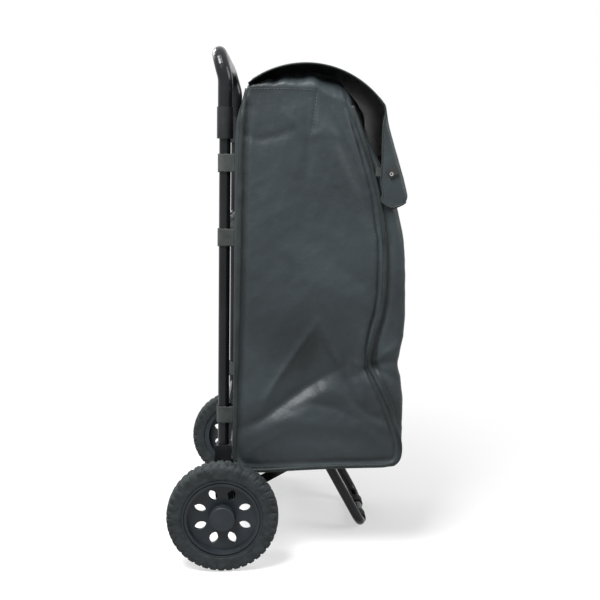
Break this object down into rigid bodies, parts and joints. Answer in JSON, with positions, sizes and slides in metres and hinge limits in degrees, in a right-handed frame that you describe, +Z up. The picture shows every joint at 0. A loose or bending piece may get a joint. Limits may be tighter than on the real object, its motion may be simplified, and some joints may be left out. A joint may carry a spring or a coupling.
{
  "type": "two-wheeled shopping trolley",
  "caption": "Two-wheeled shopping trolley with a black tube frame, U handle, folding foot loop and a nylon bag closed by a flap.",
  "frame": {"origin": "on the ground, midway along the overall length and width", "axes": "+X towards the bag side, +Y to the trolley's left, +Z up"},
  "size_m": [0.3528, 0.401, 0.7603],
  "materials": {
    "tube_black": "gloss black powder coat",
    "handle_black": "gloss black powder coat",
    "ferrule_black": "satin moulded black plastic",
    "fastener": "black oxide steel",
    "axle_steel": "drawn zinc-plated steel",
    "foot_rubber": "matt black rubber",
    "rim_plastic": "satin moulded blue-black plastic",
    "tyre": "matt dark grey foam rubber",
    "bag_nylon": "coated dark grey nylon, slight sheen",
    "webbing": "woven polypropylene webbing",
    "clip_plastic": "polished black plastic",
    "eyelet": "pressed steel eyelet"
  },
  "bodies": {
    "frame": {"upright_left": "tube_black", "upright_right": "tube_black", "handle": "handle_black", "handle_plugs": "ferrule_black", "ferrule_left": "ferrule_black", "ferrule_right": "ferrule_black", "crossbar_upper": "tube_black", "crossbar_lower": "tube_black", "bracket_left": "ferrule_black", "bracket_right": "ferrule_black", "bracket_bolts": "fastener", "axle": "axle_steel", "axle_spacers": "ferrule_black", "axle_retainers": "axle_steel", "base_rail_loop": "tube_black", "base_rear_bar": "tube_black", "base_crossbar": "tube_black", "stay_left": "tube_black", "stay_right": "tube_black", "stay_rivets": "fastener", "bag_side_left": "bag_nylon", "bag_side_right": "bag_nylon", "bag_front": "bag_nylon", "bag_back": "bag_nylon", "bag_floor": "bag_nylon", "bag_collar": "bag_nylon", "strap_upper_left": "webbing", "strap_upper_right": "webbing", "strap_middle_left": "webbing", "strap_middle_right": "webbing", "strap_lower_left": "webbing", "strap_lower_right": "webbing", "closure_tab_left": "webbing", "closure_tab_right": "webbing"},
    "foot": {"foot_loop": "tube_black", "foot_sleeve_left": "ferrule_black", "foot_sleeve_right": "ferrule_black", "foot_pad_left": "foot_rubber", "foot_pad_right": "foot_rubber"},
    "wheel_left": {"rim_left": "rim_plastic", "tyre_left": "tyre", "hub_cap_left": "rim_plastic"},
    "wheel_right": {"rim_right": "rim_plastic", "tyre_right": "tyre", "hub_cap_right": "rim_plastic"},
    "flap": {"flap_top": "bag_nylon"},
    "flap_front": {"flap_front": "bag_nylon", "closure_clip_left": "clip_plastic", "closure_clip_right": "clip_plastic", "closure_eyelets": "eyelet"}
  },
  "joints": [
    {"name": "wheel_left_spin", "type": "hinge", "parent": "frame", "child": "wheel_left", "pos_m": [-0.09391, 0.1855, 0.0825], "axis": [0, 1, 0], "continuous": true},
    {"name": "wheel_right_spin", "type": "hinge", "parent": "frame", "child": "wheel_right", "pos_m": [-0.09391, -0.1855, 0.0825], "axis": [0, 1, 0], "continuous": true},
    {"name": "foot_fold", "type": "hinge", "parent": "frame", "child": "foot", "pos_m": [0.05709, 0, 0.135], "axis": [0, 1, 0], "range_deg": [0, 108]},
    {"name": "flap_open", "type": "hinge", "parent": "frame", "child": "flap", "pos_m": [-0.05013, 0, 0.7035], "axis": [0, -1, 0], "range_deg": [0, 80]},
    {"name": "flap_front_lift", "type": "hinge", "parent": "flap", "child": "flap_front", "pos_m": [0.13805, 0, 0.67554], "axis": [0, -1, 0], "range_deg": [0, 90]}
  ]
}
